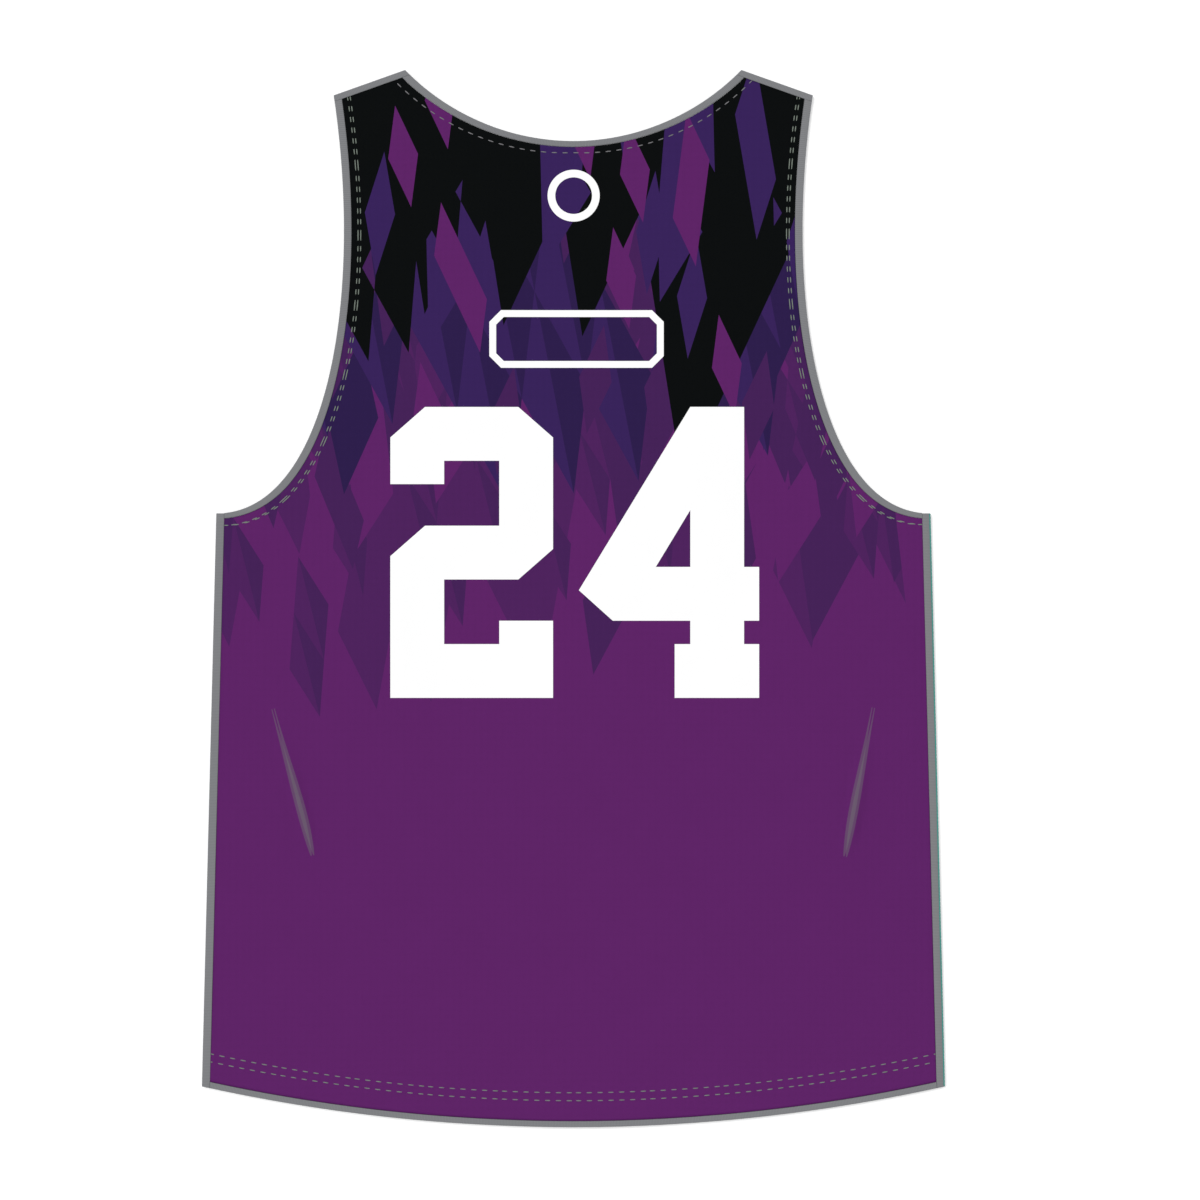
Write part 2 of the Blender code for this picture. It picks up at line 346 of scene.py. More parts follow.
Crease = namedtuple("Crease", "x_top y_top x_foot y_foot width height widest bow")
CREASES = (
    Crease(-0.2186, -0.0806, -0.1899, -0.1871, 0.016, 0.0026, 0.69, 0.0008),
    Crease(0.2186, -0.0797, 0.1981, -0.1879, 0.016, 0.0026, 0.69, -0.0004),
)
Swell = namedtuple("Swell", "x y reach_x reach_y lift")
SWELLS = (
    Swell(-0.080, 0.215, 0.070, 0.130, 0.0011),
    Swell(0.095, 0.150, 0.062, 0.160, 0.0012),
    Swell(-0.150, -0.010, 0.070, 0.110, 0.0009),
    Swell(0.020, -0.060, 0.090, 0.120, 0.0010),
    Swell(0.150, -0.240, 0.080, 0.110, 0.0010),
    Swell(-0.110, -0.270, 0.085, 0.150, 0.0012),
    Swell(0.010, -0.400, 0.070, 0.120, 0.0009),
)


def bump(distance):
    """1 at distance 0, falling smoothly to 0 at distance 1."""
    return (1 - distance ** 2) ** 2 if abs(distance) < 1 else 0.0


def rise(value, start, end):
    """Smooth step from 0 to 1."""
    share = min(max((value - start) / (end - start), 0.0), 1.0)
    return share * share * (3 - 2 * share)


def crease_power(crease):
    """The power that moves the top of half a sine wave from its middle to the widest place."""
    return math.log(0.5) / math.log(crease.widest)


def crease_lift(crease, point):
    top = Vector((crease.x_top, crease.y_top, 0.0))
    run = Vector((crease.x_foot, crease.y_foot, 0.0)) - top
    reach = Vector((point.x, point.y, 0.0)) - top
    along = reach.dot(run) / run.length_squared
    if not 0 < along < 1:
        return 0.0
    across = reach.cross(run).length / run.length
    fullness = math.sin(math.pi * along ** crease_power(crease))
    return crease.height * fullness * bump(across / (crease.width / 2))


def swell_lift(swell, point):
    offset = Vector(((point.x - swell.x) / swell.reach_x, (point.y - swell.y) / swell.reach_y))
    return swell.lift * bump(offset.length)


def neck_sag(point):
    from_neck = point.y - TOP_Y + BACK_NECK_DEPTH
    offset = Vector((point.x / NECK_SAG_REACH.x, from_neck / NECK_SAG_REACH.y))
    return NECK_SAG * bump(offset.length)


def finder(*lines):
    """A tree that finds how far a point is from the nearest of some lines."""
    points = [point for line in lines for point in line]
    tree = kdtree.KDTree(len(points))
    for index, point in enumerate(points):
        tree.insert(point, index)
    tree.balance()
    return tree


side_seam = [UNDERARM.lerp(HEM_CORNER, share) for share in shares(ROW_STEPS, 0.0)]
half_edges = [[s.point for s in neck_half], [s.point for s in armhole_half],
              [hem_station(share).point for share in shares(ROW_STEPS, 0.0)], side_seam]
edge_finder = finder(*half_edges)
row_finder = finder(neck_half_row, armhole_row, *hem_rows)
hem_radius = arc_radius(HEM_CORNER.x, HEM_CURVE)
hem_centre = Vector((0.0, HEM_LOW_Y + hem_radius, 0.0))


def back_height(point):
    """Height of the back layer's underside."""
    folded = Vector((abs(point.x), point.y, 0.0))
    calm = rise(edge_finder.find(folded)[2], 0.0, CALM_EDGE)
    above_hem = hem_radius - (folded - hem_centre).length
    height = BACK_REST - neck_sag(point)
    height += sum(crease_lift(crease, point) for crease in CREASES)
    height += sum(swell_lift(swell, point) for swell in SWELLS)
    spot = Vector((point.x / WRINKLE_WIDTH, point.y / WRINKLE_LENGTH, 0.0))
    wrinkles = noise.noise(spot) + FINE_WRINKLE_SHARE * noise.noise(spot * FINE_WRINKLES)
    height += WRINKLE_HEIGHT * calm * wrinkles
    height += HEM_FOLD_LIFT * (1 - rise(above_hem, HEM_FOLD, HEM_FOLD + HEM_FOLD_SLOPE))
    return height - GROOVE_DEPTH * bump(row_finder.find(folded)[2] / GROOVE_REACH)


def back_top(point):
    """Height of the visible face of the back."""
    return back_height(point) + CLOTH_WALL


middle_height = back_top(Vector((0.0, 0.0, 0.0)))
print("the middle of the back is", round(middle_height * 1000, 2), "mm above the floor")

# %% [markdown]
# ## Materials with nodes
# A material is a small network. Writing it in Python gets long, so this helper shortens the
# three steps that repeat: add a node, set what is fixed, connect what comes from elsewhere.
# %% Node helper
DARK = (0.0, 0.0, 0.0, 1.0)
GLOSS = 0.25                 # specular level of a finish that gives none of its own
SHEEN_ROUGHNESS = 0.5


class Network:
    """The node tree of one material, with short calls."""

    def __init__(self, name):
        self.material = bpy.data.materials.new(name)
        self.material.use_nodes = True
        self.tree = self.material.node_tree
        self.shader = self.tree.nodes["Principled BSDF"]

    def set(self, socket, value):
        """Connect a socket or set its fixed value."""
        if isinstance(value, bpy.types.NodeSocket):
            self.tree.links.new(value, socket)
        else:
            socket.default_value = value

    def add(self, kind, **settings):
        node = self.tree.nodes.new(kind)
        for key, value in settings.items():
            setattr(node, key, value)
        return node

    def calc(self, operation, *values):
        """One Math node."""
        node = self.add("ShaderNodeMath", operation=operation)
        for socket, value in zip(node.inputs, values):
            self.set(socket, value)
        return node.outputs[0]

    def inverse(self, value):
        """1 minus a value."""
        return self.calc("SUBTRACT", 1.0, value)

    def mix(self, share, below, above):
        """Blend two colours. The node has their sockets at 6 and 7, and its result at 2."""
        node = self.add("ShaderNodeMix", data_type="RGBA")
        self.set(node.inputs["Factor"], share)
        self.set(node.inputs[6], below)
        self.set(node.inputs[7], above)
        return node.outputs[2]

    def darken(self, colour, amount, most):
        """Darken a colour by a share, which is most where the amount is 1."""
        return self.mix(self.calc("MULTIPLY", amount, most), colour, DARK)

    def place(self):
        """x, y and z of the point on the object, in metres."""
        node = self.add("ShaderNodeSeparateXYZ")
        self.set(node.inputs[0], self.add("ShaderNodeTexCoord").outputs["Object"])
        return node.outputs

    def vector(self, x, y, z=0.0):
        node = self.add("ShaderNodeCombineXYZ")
        for socket, value in zip(node.inputs, (x, y, z)):
            self.set(socket, value)
        return node.outputs[0]

    def noise(self, vector, scale, detail=2.0):
        node = self.add("ShaderNodeTexNoise")
        node.inputs["Scale"].default_value = scale
        node.inputs["Detail"].default_value = detail
        self.set(node.inputs["Vector"], vector)
        return node.outputs["Fac"]

    def relief(self, height, depth, normal=None):
        node = self.add("ShaderNodeBump")
        node.inputs["Distance"].default_value = depth
        self.set(node.inputs["Height"], height)
        if normal:
            self.set(node.inputs["Normal"], normal)
        return node.outputs[0]

    def finish(self, colour, roughness, normal=None, gloss=GLOSS, sheen=0.0):
        self.set(self.shader.inputs["Base Color"], colour)
        self.set(self.shader.inputs["Roughness"], roughness)
        self.shader.inputs["Specular IOR Level"].default_value = gloss
        self.shader.inputs["Sheen Weight"].default_value = sheen
        self.shader.inputs["Sheen Roughness"].default_value = SHEEN_ROUGHNESS
        if normal:
            self.set(self.shader.inputs["Normal"], normal)
        return self.material


# %% [markdown]
# ## The mesh cloth
# Practice tops are knitted as an open mesh, so that air gets through. Two sets of waves,
# crossed at a slant, make the staggered rows of tiny holes. They lower the surface a little
# and darken it a little with painted shade in each hole, which is all that can be seen of them from
# a step away.
# %% Mesh knit
HOLE_PITCH = 0.0017
HOLE_DEPTH = 0.00025
# Painted shade: how much darker the colour is painted in the middle of a hole.
HOLE_SHADE = 0.16
CLOUD_SCALE = 26.0           # faint patches, a few centimetres wide
CLOUD_SHARE = 0.10
CLOUD_DARKNESS = 0.5
KNIT_ROUGHNESS = 0.75
CLOTH_GLOSS = 0.07           # dark cloth in white light turns grey with more
CLOTH_SHEEN = 0.01


def knit_holes(net, x, y):
    """0 on the yarn and 1 in the middle of a hole."""
    slant = [net.calc("ADD", x, y), net.calc("SUBTRACT", x, y)]
    waves = [net.calc("SINE", net.calc("MULTIPLY", line, 2 * math.pi / HOLE_PITCH))
             for line in slant]
    hole = net.calc("MULTIPLY", *waves)
    return net.calc("MAXIMUM", hole, 0.0)


def knitted(net, colour, x, y):
    """Finish a colour as mesh cloth."""
    holes = knit_holes(net, x, y)
    clouds = net.calc("MULTIPLY", net.noise(net.vector(x, y), CLOUD_SCALE), CLOUD_SHARE)
    clouded = net.mix(CLOUD_DARKNESS, colour, DARK)
    # Painted shade in the knit holes, then random darker patches.
    shaded = net.mix(clouds, net.darken(colour, holes, HOLE_SHADE), clouded)
    normal = net.relief(net.inverse(holes), HOLE_DEPTH)
    return net.finish(shaded, KNIT_ROUGHNESS, normal, CLOTH_GLOSS, CLOTH_SHEEN)


# %% [markdown]
# ## The printed fade
# The print is dyed into the cloth: purple at the hem, more and more dark lozenges higher
# up, almost black at the shoulders. Each layer is a net of tall lozenges. Two slanted
# coordinates number the lozenges, and White Noise turns the pair of numbers into one
# random value for the whole lozenge, so that its edges stay straight and crisp. The
# lozenge is printed where that value is under a chance that grows with its height. Some
# layers shade the far half of each lozenge, like the facet of a cut stone.
# In the table, the chance grows from 0 at the height low to most at the height high.
# %% Printed fade
PURPLE = (99, 35, 108)
PLUM = (82, 34, 98)
DARK_PLUM = (72, 33, 92)
INDIGO = (58, 34, 95)
DARK_INDIGO = (46, 28, 79)
BLACK = (2, 5, 6)

Layer = namedtuple("Layer", "colour width height tilt shift low high most seed facet")
LAYERS = (
    Layer(PLUM, 0.040, 0.120, 8, 0.013, -0.075, 0.020, 0.62, 21.5, None),
    Layer(DARK_PLUM, 0.034, 0.104, -10, 0.027, -0.020, 0.130, 0.66, 22.5, None),
    Layer(PLUM, 0.026, 0.078, 14, 0.005, -0.030, 0.060, 0.42, 23.5, DARK_PLUM),
    Layer(PURPLE, 0.032, 0.090, -13, 0.033, -0.020, 0.060, 0.24, 26.5, None),
    Layer(DARK_PLUM, 0.022, 0.070, 5, 0.015, 0.050, 0.130, 0.30, 27.5, None),
    Layer(DARK_INDIGO, 0.038, 0.116, -6, 0.041, 0.075, 0.190, 0.62, 24.5, None),
    Layer(INDIGO, 0.048, 0.150, 11, 0.009, 0.115, 0.210, 0.84, 25.5, DARK_INDIGO),
    Layer(DARK_PLUM, 0.024, 0.080, -9, 0.021, 0.090, 0.150, 0.12, 32.5, None),
    Layer(BLACK, 0.058, 0.190, -8, 0.020, 0.180, 0.250, 1.00, 28.5, None),
    Layer(INDIGO, 0.044, 0.150, -15, 0.017, 0.180, 0.240, 0.34, 30.5, None),
    Layer(BLACK, 0.030, 0.100, 12, 0.020, 0.200, 0.280, 0.62, 29.5, None),
    Layer(INDIGO, 0.022, 0.090, -4, 0.017, 0.180, 0.240, 0.15, 33.5, None),
    Layer(PURPLE, 0.022, 0.075, 9, 0.050, 0.110, 0.200, 0.11, 31.5, None),
)


def lozenges(net, x, y, layer):
    """1 inside the printed lozenges of one layer, and 1 on the far half of any lozenge."""
    turn = math.radians(layer.tilt)
    across = net.calc("ADD", net.calc("MULTIPLY", x, math.cos(turn) / layer.width),
                      net.calc("MULTIPLY_ADD", y, math.sin(turn) / layer.width,
                               layer.shift / layer.width))
    along = net.calc("ADD", net.calc("MULTIPLY", x, -math.sin(turn) / layer.height),
                     net.calc("MULTIPLY", y, math.cos(turn) / layer.height))
    slanted = net.calc("ADD", across, along), net.calc("SUBTRACT", across, along)
    first, second = [net.calc("FLOOR", value) for value in slanted]
    middle = net.calc("MULTIPLY", net.calc("SUBTRACT", first, second), layer.height / 2)
    chance = net.add("ShaderNodeMapRange")
    net.set(chance.inputs["Value"], middle)
    for socket, value in (("From Min", layer.low), ("From Max", layer.high),
                          ("To Max", layer.most)):
        chance.inputs[socket].default_value = value
    draw = net.add("ShaderNodeTexWhiteNoise", noise_dimensions="3D")
    net.set(draw.inputs["Vector"], net.vector(first, second, layer.seed))
    printed = net.calc("LESS_THAN", draw.outputs["Value"], chance.outputs["Result"])
    if not layer.facet:
        return printed, None
    inside = net.calc("ADD", *[net.calc("FRACT", value) for value in slanted])
    return printed, net.calc("GREATER_THAN", inside, 1.0)


def printed_fade(net, x, y):
    colour = linear(PURPLE)
    for layer in LAYERS:
        printed, far_half = lozenges(net, x, y, layer)
        ink = linear(layer.colour)
        if layer.facet:
            ink = net.mix(far_half, ink, linear(layer.facet))
        colour = net.mix(printed, colour, ink)
    return colour


# %% [markdown]
# ## Painted highlights on the creases
# Along the crest of each hard crease a paler grey is painted in as a highlight. Each crease shows
# as two thin blades that overlap in the middle. A blade is measured in its own coordinates: how far
# along the fold, and how far from its slightly bowed centre line.
# %% Painted crease highlights
# Painted highlight: the pale grey laid along the crest of each crease, where light catches the
# fold.
CREASE_HIGHLIGHT_GREY = (125, 131, 124)
CREASE_HIGHLIGHT_SHARE = 0.25
BLADE_GAP = 0.00095          # from the fold to the middle of either blade
BLADE_WIDTH = 0.0021         # half of the widest place
BLADE_TIP = 0.0004
BLADE_FULLNESS = 0.75
BLADE_EDGE = 0.00015


def soft_limit(net, room):
    """0 outside, 1 inside, with a short soft edge."""
    ramp = net.calc("DIVIDE", room, BLADE_EDGE)
    return net.calc("MINIMUM", net.calc("MAXIMUM", ramp, 0.0), 1.0)


def blades(net, x, y, crease):
    """Two values, each 1 on one blade of a crease and 0 beside it."""
    run = Vector((crease.x_foot - crease.x_top, crease.y_foot - crease.y_top))
    way = run.normalized()
    from_x = net.calc("SUBTRACT", x, crease.x_top)
    from_y = net.calc("SUBTRACT", y, crease.y_top)
    along = net.calc("ADD", net.calc("MULTIPLY", from_x, way.x / run.length),
                     net.calc("MULTIPLY", from_y, way.y / run.length))
    across = net.calc("ADD", net.calc("MULTIPLY", from_x, -way.y),
                      net.calc("MULTIPLY", from_y, way.x))
    inside = net.calc("MINIMUM", net.calc("MAXIMUM", along, 0.0), 1.0)
    turned = net.calc("MULTIPLY", net.calc("POWER", inside, crease_power(crease)), math.pi)
    full = net.calc("MAXIMUM", net.calc("SINE", turned), 0.0)
    bowed = net.calc("MULTIPLY_ADD", full, -crease.bow, across)
    fullness = net.calc("POWER", full, BLADE_FULLNESS)
    width = net.calc("MULTIPLY_ADD", fullness, BLADE_WIDTH, BLADE_TIP)
    outside = net.calc("ABSOLUTE", net.calc("SUBTRACT", along, inside))
    past_end = net.calc("MULTIPLY", outside, run.length)
    width = net.calc("SUBTRACT", width, past_end)
    for offset in (-BLADE_GAP, BLADE_GAP):
        line = net.calc("ABSOLUTE", net.calc("SUBTRACT", bowed, offset))
        yield soft_limit(net, net.calc("SUBTRACT", width, line))


def paint_crease_highlights(net, colour, x, y):
    for crease in CREASES:
        for highlight_blade in blades(net, x, y, crease):
            # Mix in the painted highlight, at most a quarter of the way.
            colour = net.mix(net.calc("MULTIPLY", highlight_blade, CREASE_HIGHLIGHT_SHARE), colour, linear(CREASE_HIGHLIGHT_GREY))
    return colour


def make_back_cloth():
    net = Network("printed mesh cloth")
    x, y, _ = net.place()
    # The creases get a painted highlight over the print.
    return knitted(net, paint_crease_highlights(net, printed_fade(net, x, y), x, y), x, y)


back_cloth_finish = make_back_cloth()
print("print layers", len(LAYERS), "nodes", len(back_cloth_finish.node_tree.nodes))

# %% [markdown]
# ## Tape, thread and white print
# The tape round the edges is a fine rib knit, so its material needs to know which way the
# tape runs. Its UV map says so, in metres: U along the tape and V round it. Thread uses the
# same trick for its twist. The white print is a film pressed on to the mesh, so the knit
# still shows through it as a faint relief.
# %% Tape, thread and print finishes
GREY = (129, 130, 133)
NECK_THREAD = (128, 127, 130)
TWIN_THREAD = (128, 138, 128)
TEAL = (70, 154, 143)
PRINT_WHITE = (252, 252, 252)
PRINT_SHADED = (225, 222, 228)
RIB_PITCH = 0.0011
RIB_WANDER = RIB_PITCH / 4   # how far uneven yarn shifts a rib
RIB_WANDER_SCALE = 300.0
RIB_WANDER_DETAIL = 3.0
RIB_DEPTH = 0.00012
# Painted shade: how much darker the colour is painted in the troughs between ribs.
RIB_SHADE = 0.16
TAPE_ROUGHNESS = 0.85
TAPE_SHEEN = 0.08
TWIST_PITCH = 0.0009
TWIST_DEPTH = 0.00012
# Painted shade: how much darker the colour is painted in the grooves of the twist.
TWIST_SHADE = 0.18
THREAD_ROUGHNESS = 0.55
THREAD_SHEEN = 0.1
PRINT_DEPTH = 0.00004
PRINT_CLOUD_SCALE = 40.0
PRINT_CLOUD_SHARE = 0.05
PRINT_ROUGHNESS = 0.6


def uv_place(net):
    node = net.add("ShaderNodeSeparateXYZ")
    net.set(node.inputs[0], net.add("ShaderNodeUVMap", uv_map="strip").outputs["UV"])
    return node.outputs


def wave(net, value, pitch):
    """A soft wave between 0 and 1."""
    turns = net.calc("MULTIPLY", value, 2 * math.pi / pitch)
    return net.calc("MULTIPLY_ADD", net.calc("SINE", turns), 0.5, 0.5)


def make_tape_finish():
    net = Network("rib knit tape")
    u, v, _ = uv_place(net)
    uneven = net.noise(net.vector(u, v), RIB_WANDER_SCALE, RIB_WANDER_DETAIL)
    ribs = wave(net, net.calc("ADD", u, net.calc("MULTIPLY", uneven, RIB_WANDER)), RIB_PITCH)
    # Painted shade in the rib troughs.
    colour = net.darken(linear(GREY), net.inverse(ribs), RIB_SHADE)
    return net.finish(colour, TAPE_ROUGHNESS, net.relief(ribs, RIB_DEPTH), sheen=TAPE_SHEEN)


def make_thread_finish(name, srgb):
    net = Network(name)
    u, v, _ = uv_place(net)
    twist = wave(net, net.calc("ADD", u, v), TWIST_PITCH)
    # Painted shade in the grooves of the twist.
    colour = net.darken(linear(srgb), net.inverse(twist), TWIST_SHADE)
    return net.finish(colour, THREAD_ROUGHNESS, net.relief(twist, TWIST_DEPTH),
                      sheen=THREAD_SHEEN)


def make_print_finish():
    net = Network("white print")
    x, y, _ = net.place()
    clouds = net.noise(net.vector(x, y), PRINT_CLOUD_SCALE)
    share = net.calc("MULTIPLY", clouds, PRINT_CLOUD_SHARE)
    colour = net.mix(share, linear(PRINT_WHITE), linear(PRINT_SHADED))
    relief = net.relief(net.inverse(knit_holes(net, x, y)), PRINT_DEPTH)
    return net.finish(colour, PRINT_ROUGHNESS, relief)


def make_plain_cloth():
    net = Network("plain mesh cloth")
    x, y, _ = net.place()
    return knitted(net, printed_fade(net, x, y), x, y)


tape_finish = make_tape_finish()
neck_thread_finish = make_thread_finish("neck thread", NECK_THREAD)
twin_thread_finish = make_thread_finish("twin row thread", TWIN_THREAD)
edge_thread_finish = make_thread_finish("teal thread", TEAL)
print_finish = make_print_finish()
front_cloth_finish = make_plain_cloth()
print("finishes", len(bpy.data.materials))

# %% [markdown]
# ## The two panels
# A panel is a grid of quads pulled into the pattern's shape. Its rows run from the middle of
# the garment to the side, and its columns follow the side seam and the armhole. The close
# columns lie at the seams and the creases, where the surface bends most. Half a panel is
# made, then mirrored like folded paper, then trimmed by upright planes at the straight seams.
# The cloth stops where the tape starts. The neck's tape is wider at the shoulders, and the
# armhole's is narrow round the tight curve of the underarm, so those widths are functions.
# %% Panel shape
NECK_BAND = 0.0042
NECK_BAND_GROWTH = 0.0012
ARMHOLE_BAND = 0.0055
UNDERARM_BAND = 0.0038
UNDERARM_REACH = 0.060
HEM_BAND = 0.0044
SIDE_BAND = 0.00585
SHOULDER_BAND = 0.0045
TOUCH = 0.00015              # air left between the cloth and the tape of a curved edge
SEAM_TOUCH = 0.00005         # and at a straight seam
UNDERARM_ROW_DIP = 0.020     # of the grid's row that ends at the underarm, in the middle
WELD = 0.00001
Plane = namedtuple("Plane", "point outward")
Mesh = namedtuple("Mesh", "columns lower_rows centre_rows neck_rows")


def neck_band(point):
    return NECK_BAND + NECK_BAND_GROWTH * (point.x / NECK_POINT.x) ** 2


def armhole_band(point):
    from_underarm = math.hypot(abs(point.x) - UNDERARM.x, point.y - UNDERARM.y)
    return UNDERARM_BAND + (ARMHOLE_BAND - UNDERARM_BAND) * rise(from_underarm, 0.0, UNDERARM_REACH)


def even_band(width):
    """The width of a tape that is equally wide all along."""
    return lambda _point: width


def cloth_edge(station, band):
    """Where the cloth stops, just inside the tape."""
    return station.point + station.inward * (band(station.point) + TOUCH)


def runs(*parts):
    """Places between 0 and 1, closer together where more steps are asked for."""
    places = [0.0]
    for end, steps in parts:
        start = places[-1]
        places += [start + (end - start) * (step + 1) / steps for step in range(steps)]
    return places


FINE = Mesh(
    columns=runs((0.03, 5), (0.66, 38), (0.88, 26), (0.955, 5), (1.0, 8)),
    lower_rows=runs((0.065, 14), (1.0, 86)),
    centre_rows=runs((0.93, 48), (1.0, 8)),
    neck_rows=36,
)
PLAIN = Mesh(runs((1.0, 24)), runs((1.0, 36)), runs((1.0, 20)), 24)


def seam_plane(start, end, inset):
    """Upright plane beside a straight seam, with the cloth on its inner side."""
    along = (end - start).normalized()
    outward = along.cross(UPWARDS)
    return Plane(start - outward * inset, outward)


def both_sides(plane):
    """A plane, and the same plane on the left half."""
    return [plane, Plane(plane.point * LEFT_FOR_RIGHT, plane.outward * LEFT_FOR_RIGHT)]


hem_band = even_band(HEM_BAND)
side_band = even_band(SIDE_BAND)
shoulder_band = even_band(SHOULDER_BAND)
side_plane = seam_plane(HEM_CORNER, UNDERARM, SIDE_BAND + SEAM_TOUCH)
shoulder_plane = seam_plane(SHOULDER_TIP, NECK_POINT, SHOULDER_BAND + SEAM_TOUCH)
SEAM_PLANES = both_sides(side_plane) + both_sides(shoulder_plane)


def trim(sheet, planes):
    """Cut away what lies outside the planes."""
    for plane in planes:
        everything = sheet.verts[:] + sheet.edges[:] + sheet.faces[:]
        bmesh.ops.bisect_plane(sheet, geom=everything, dist=WELD, plane_co=plane.point,
                               plane_no=plane.outward, clear_outer=True)


def fresh_grid(columns, rows):
    """Flat grid of quads, one unit wide and high."""
    sheet = bmesh.new()
    bmesh.ops.create_grid(sheet, x_segments=columns, y_segments=rows, size=0.5)
    return sheet


def grid_place(vert):
    """Where a vertex of a fresh grid is, from 0 to 1 both ways."""
    return vert.co.x + 0.5, vert.co.y + 0.5


def panel_sheet(neck_depth, mesh):
    """Flat sheet of a whole panel, out to where its tapes start."""
    top_rows = len(mesh.centre_rows) - 1 + mesh.neck_rows
    armhole = [cloth_edge(station, armhole_band) for station in armhole_stations(top_rows)]
    neck = [cloth_edge(neck_station(neck_depth, share), neck_band)
            for share in shares(mesh.neck_rows, 0.0)]
    low = Vector((0.0, armhole[0].y - UNDERARM_ROW_DIP, 0.0))
    middle = [low.lerp(neck[0], share) for share in mesh.centre_rows[:-1]] + neck
    low_rows = len(mesh.lower_rows) - 1
    sheet = fresh_grid(len(mesh.columns) - 1, low_rows + top_rows)
    for vert in sheet.verts:
        across, up = grid_place(vert)
        column = mesh.columns[round(across * (len(mesh.columns) - 1))]
        row = round(up * (low_rows + top_rows))
        if row >= low_rows:
            vert.co = middle[row - low_rows].lerp(armhole[row - low_rows], column)
        else:
            start = cloth_edge(hem_station(column), hem_band)
            vert.co = start.lerp(low.lerp(armhole[0], column), mesh.lower_rows[row])
    half = sheet.verts[:] + sheet.edges[:] + sheet.faces[:]
    bmesh.ops.mirror(sheet, geom=half, axis="X", merge_dist=WELD)
    bmesh.ops.recalc_face_normals(sheet, faces=sheet.faces[:])
    trim(sheet, SEAM_PLANES)
    return sheet


# %% [markdown]
# A panel is lifted to its height and given its wall by a Solidify modifier. Its offset of 1
# grows the wall upwards from the sheet, so the sheet itself is the underside.
# %% Make the panels


def face_up(sheet):
    """Turn an open sheet over if it faces down."""
    sheet.normal_update()
    if sum(face.normal.z for face in sheet.faces) < 0:
        bmesh.ops.reverse_faces(sheet, faces=sheet.faces[:])


def show(name, sheet, finish):
    """Turn a bmesh into a smooth object with its finish."""
    mesh = bpy.data.meshes.new(name)
    sheet.to_mesh(mesh)
    sheet.free()
    mesh.shade_smooth()
    mesh.materials.append(finish)
    piece = add_object(name, mesh)
    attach(piece, "root")
    return piece


def make_panel(name, node, neck_depth, mesh, height, finish):
    """Cut a panel, measure the cut, then lift it into place and give it its wall."""
    sheet = panel_sheet(neck_depth, mesh)
    area = sum(face.calc_area() for face in sheet.faces)
    for vert in sheet.verts:
        vert.co.z = height(vert.co)
    face_up(sheet)
    piece = show(name, sheet, finish)
    wall = piece.modifiers.new("wall", "SOLIDIFY")
    wall.thickness = CLOTH_WALL
    wall.offset = 1.0
    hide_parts(node)
    print(name, len(piece.data.polygons), "faces,", round(area, 4), "square metres")
    return piece, area


def front_height(_point):
    return 0.0


back_cloth, back_area = make_panel("back_cloth", "back_panel", BACK_NECK_DEPTH, FINE,
                                   back_height, back_cloth_finish)
front_cloth, front_area = make_panel("front_cloth", "front_panel", FRONT_NECK_DEPTH, PLAIN,
                                     front_height, front_cloth_finish)

# %% [markdown]
# ## The taped edges
# Tape is a narrow strip of rib knit, rolled round the raw edge and sewn down. So that is how
# it is made here: a flat grid, one column for each station of the edge, is rolled up across
# its width until its long sides meet and weld. Its section is a squashed circle, as flat on
# top as pressed tape is. Where two tapes meet, the plane between them trims one, and its
# open end is filled.
# %% Roll tape round an edge
TAPE_SIDES = 18
TAPE_SQUARENESS = 5.0        # 2 is an ellipse, more is nearer to a rectangle
SEAM_SQUARENESS = 12.0       # the strips over the seams are pressed flatter
TAPE_UNEVEN = 0.00012        # how far its top sinks below its full height, at most
TAPE_UNEVEN_PITCH = 0.018
TAPE_CRISP = math.radians(60)    # edges sharper than this aren't shaded round


def squashed(angle, squareness):
    """Point of a tape's section, between -1 and 1 both ways."""
    power = 2 / squareness
    c, s = math.cos(angle), math.sin(angle)
    return math.copysign(abs(c) ** power, c), math.copysign(abs(s) ** power, s)


def strip_grid(columns, rows, length, girth):
    """Grid with a UV map in metres, to be rolled or bent."""
    sheet = fresh_grid(columns, rows)
    uv = sheet.loops.layers.uv.new("strip")
    for face in sheet.faces:
        for loop in face.loops:
            along, around = grid_place(loop.vert)
            loop[uv].uv = (along * length, around * girth)
    return sheet


def make_tape(name, node, stations, band, wall, squareness, height=front_height,
              planes=SEAM_PLANES):
    """Roll a strip round an edge, trim it with the planes and close its ends."""
    length = milestones([s.point for s in stations])[-1]
    girth = 2 * (band(stations[len(stations) // 2].point) + wall)
    sheet = strip_grid(len(stations) - 1, TAPE_SIDES, length, girth)
    for vert in sheet.verts:
        along, around = grid_place(vert)
        station = stations[round(along * (len(stations) - 1))]
        side, up = squashed(around * 2 * math.pi, squareness)
        vert.co = station.point + station.inward * band(station.point) * (1 - side) / 2
        unevenness = (noise.noise(vert.co / TAPE_UNEVEN_PITCH) - 1) * rise(up, 0.0, 1.0)
        vert.co.z = height(vert.co) + wall * (1 + up) / 2 + TAPE_UNEVEN * unevenness
    bmesh.ops.remove_doubles(sheet, verts=sheet.verts[:], dist=WELD)
    trim(sheet, planes)
    bmesh.ops.holes_fill(sheet, edges=[edge for edge in sheet.edges if edge.is_boundary])
    bmesh.ops.recalc_face_normals(sheet, faces=sheet.faces[:])
    piece = show(name, sheet, tape_finish)
    piece.data.set_sharp_from_angle(angle=TAPE_CRISP)
    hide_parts(node)
    return piece


